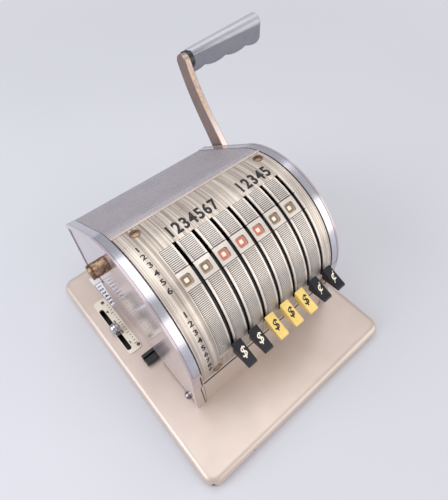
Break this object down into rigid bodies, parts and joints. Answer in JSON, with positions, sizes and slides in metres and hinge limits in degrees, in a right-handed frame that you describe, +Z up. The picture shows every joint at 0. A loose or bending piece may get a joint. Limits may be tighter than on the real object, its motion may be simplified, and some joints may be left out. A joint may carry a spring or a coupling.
{
  "type": "check writer",
  "caption": "Desk machine that prints an amount on a check: curved face with slots and digit windows, wedge lever keys, cranked pull handle, flat base with a side scale.",
  "frame": {"origin": "centre of the base's footprint, on the desk", "axes": "+Z up, +X to the right as the user sits in front of the keys, +Y to the back"},
  "size_m": [0.3004, 0.2882, 0.1903],
  "materials": {
    "paint": "rose-beige metallic enamel, satin gloss",
    "side_paint": "smooth glossy rose-lavender enamel",
    "bright": "brushed bright band",
    "steel": "plain machined",
    "face": "cream with fine brown lines",
    "rib": "fine ribs, satin",
    "trim": "polished strip",
    "dial": "satin, numbered",
    "key_dark": "moulded, polished",
    "key_yellow": "moulded, polished",
    "type": "worn, inky",
    "brass": "turned",
    "chrome": "polished",
    "scale": "ivory with black divisions",
    "rivet": "domed",
    "screw": "slotted, bronze tint",
    "rubber": "matt black",
    "ink": "ink-soaked",
    "arm": "bronze-brown enamel",
    "collar": "dark moulded ring",
    "grip": "grey moulded, smooth"
  },
  "bodies": {
    "chassis": {"base_shell": "paint", "bottom_plate": "steel", "rubber_feet": "rubber", "machine_screws": "steel", "frame_left": "steel", "frame_right": "steel", "tie_rods": "steel", "drum_shaft": "steel", "type_shaft": "steel", "face_plate": "face", "cover_screws": "screw", "top_trim": "trim", "rear_cover": "rib", "front_apron": "paint", "side_cover_left": "side_paint", "side_cover_right": "side_paint", "side_band_left": "bright", "side_band_right": "bright", "scale_plate": "scale", "scale_rivets": "rivet", "guide_pin": "chrome", "lock_cylinder": "brass", "platen_posts": "steel", "detent_springs": "steel"},
    "lock": {"lock_plug": "brass"},
    "tab": {"finger_tab": "bright"},
    "release": {"release_key": "key_dark"},
    "gauge": {"gauge_slider": "chrome"},
    "lever_1": {"segment_1": "dial", "key_1": "key_dark"},
    "lever_2": {"segment_2": "dial", "key_2": "key_dark"},
    "lever_3": {"segment_3": "dial", "key_3": "key_yellow"},
    "lever_4": {"segment_4": "dial", "key_4": "key_yellow"},
    "lever_5": {"segment_5": "dial", "key_5": "key_yellow"},
    "lever_6": {"segment_6": "dial", "key_6": "key_dark"},
    "lever_7": {"segment_7": "dial", "key_7": "key_dark"},
    "wheel_1": {"type_wheel_1": "type"},
    "wheel_2": {"type_wheel_2": "type"},
    "wheel_3": {"type_wheel_3": "type"},
    "wheel_4": {"type_wheel_4": "type"},
    "wheel_5": {"type_wheel_5": "type"},
    "wheel_6": {"type_wheel_6": "type"},
    "wheel_7": {"type_wheel_7": "type"},
    "platen": {"platen_bar": "steel", "platen_pad": "rubber"},
    "lift": {"lift_arm": "steel"},
    "ink_swing": {"ink_yoke": "steel"},
    "ink": {"ink_roller": "ink"},
    "handle": {"handle_shaft": "steel", "handle_cam": "steel", "handle_arm": "arm", "grip_collar": "collar", "handle_grip": "grip", "return_spring": "steel"}
  },
  "joints": [
    {"name": "handle_pull", "type": "hinge", "parent": "chassis", "child": "handle", "pos_m": [0, 0.06, 0.054], "axis": [1, 0, 0], "range_deg": [0, 60], "stiffness_Nm_per_rad": 0.6, "springref_deg": -57.3, "deforming": ["return_spring"]},
    {"name": "lever_1_swing", "type": "hinge", "parent": "chassis", "child": "lever_1", "pos_m": [0, 0.0055, 0.0765], "axis": [-1, 0, 0], "range_deg": [0, 67.5]},
    {"name": "lever_2_swing", "type": "hinge", "parent": "chassis", "child": "lever_2", "pos_m": [0, 0.0055, 0.0765], "axis": [-1, 0, 0], "range_deg": [0, 67.5]},
    {"name": "lever_3_swing", "type": "hinge", "parent": "chassis", "child": "lever_3", "pos_m": [0, 0.0055, 0.0765], "axis": [-1, 0, 0], "range_deg": [0, 67.5]},
    {"name": "lever_4_swing", "type": "hinge", "parent": "chassis", "child": "lever_4", "pos_m": [0, 0.0055, 0.0765], "axis": [-1, 0, 0], "range_deg": [0, 67.5]},
    {"name": "lever_5_swing", "type": "hinge", "parent": "chassis", "child": "lever_5", "pos_m": [0, 0.0055, 0.0765], "axis": [-1, 0, 0], "range_deg": [0, 67.5]},
    {"name": "lever_6_swing", "type": "hinge", "parent": "chassis", "child": "lever_6", "pos_m": [0, 0.0055, 0.0765], "axis": [-1, 0, 0], "range_deg": [0, 67.5]},
    {"name": "lever_7_swing", "type": "hinge", "parent": "chassis", "child": "lever_7", "pos_m": [0, 0.0055, 0.0765], "axis": [-1, 0, 0], "range_deg": [0, 67.5]},
    {"name": "wheel_1_spin", "type": "hinge", "parent": "chassis", "child": "wheel_1", "pos_m": [0, -0.031, 0.03143], "axis": [-1, 0, 0], "range_deg": [-324, 0]},
    {"name": "wheel_2_spin", "type": "hinge", "parent": "chassis", "child": "wheel_2", "pos_m": [0, -0.031, 0.03143], "axis": [-1, 0, 0], "range_deg": [-324, 0]},
    {"name": "wheel_3_spin", "type": "hinge", "parent": "chassis", "child": "wheel_3", "pos_m": [0, -0.031, 0.03143], "axis": [-1, 0, 0], "range_deg": [-324, 0]},
    {"name": "wheel_4_spin", "type": "hinge", "parent": "chassis", "child": "wheel_4", "pos_m": [0, -0.031, 0.03143], "axis": [-1, 0, 0], "range_deg": [-324, 0]},
    {"name": "wheel_5_spin", "type": "hinge", "parent": "chassis", "child": "wheel_5", "pos_m": [0, -0.031, 0.03143], "axis": [-1, 0, 0], "range_deg": [-324, 0]},
    {"name": "wheel_6_spin", "type": "hinge", "parent": "chassis", "child": "wheel_6", "pos_m": [0, -0.031, 0.03143], "axis": [-1, 0, 0], "range_deg": [-324, 0]},
    {"name": "wheel_7_spin", "type": "hinge", "parent": "chassis", "child": "wheel_7", "pos_m": [0, -0.031, 0.03143], "axis": [-1, 0, 0], "range_deg": [-324, 0]},
    {"name": "platen_rise", "type": "slide", "parent": "chassis", "child": "platen", "axis": [0, 0, 1], "range_m": [0, 0.0045]},
    {"name": "lift_rock", "type": "hinge", "parent": "chassis", "child": "lift", "pos_m": [0, 0.02, 0.0085], "axis": [1, 0, 0], "range_deg": [-5.2, 0]},
    {"name": "ink_lift", "type": "hinge", "parent": "chassis", "child": "ink_swing", "pos_m": [0, -0.012, 0.06], "axis": [1, 0, 0], "range_deg": [0, 8]},
    {"name": "ink_roll", "type": "hinge", "parent": "ink_swing", "child": "ink", "pos_m": [0, -0.0145, 0.021], "axis": [1, 0, 0], "continuous": true},
    {"name": "gauge_slide", "type": "slide", "parent": "chassis", "child": "gauge", "axis": [0, 1, 0], "range_m": [-0.023, 0.028]},
    {"name": "release_push", "type": "slide", "parent": "chassis", "child": "release", "axis": [1, 0, 0], "range_m": [0, 0.004], "stiffness_N_per_m": 400, "springref_m": -0.002},
    {"name": "lock_turn", "type": "hinge", "parent": "chassis", "child": "lock", "pos_m": [0, 0.028, 0.1275], "axis": [-1, 0, 0], "range_deg": [0, 90]},
    {"name": "tab_swing", "type": "hinge", "parent": "chassis", "child": "tab", "pos_m": [0, 0.084, 0.037], "axis": [-1, 0, 0], "range_deg": [0, 20]}
  ],
  "couplings": [
    {"joint": "wheel_1_spin", "follows": "lever_1_swing", "ratio": -4.8},
    {"joint": "wheel_2_spin", "follows": "lever_2_swing", "ratio": -4.8},
    {"joint": "wheel_3_spin", "follows": "lever_3_swing", "ratio": -4.8},
    {"joint": "wheel_4_spin", "follows": "lever_4_swing", "ratio": -4.8},
    {"joint": "wheel_5_spin", "follows": "lever_5_swing", "ratio": -4.8},
    {"joint": "wheel_6_spin", "follows": "lever_6_swing", "ratio": -4.8},
    {"joint": "wheel_7_spin", "follows": "lever_7_swing", "ratio": -4.8},
    {"joint": "platen_rise", "follows": "handle_pull", "m_per_rad": 0.0042968},
    {"joint": "lift_rock", "follows": "handle_pull", "ratio": -0.084167},
    {"joint": "ink_lift", "follows": "handle_pull", "ratio": 0.13317}
  ]
}
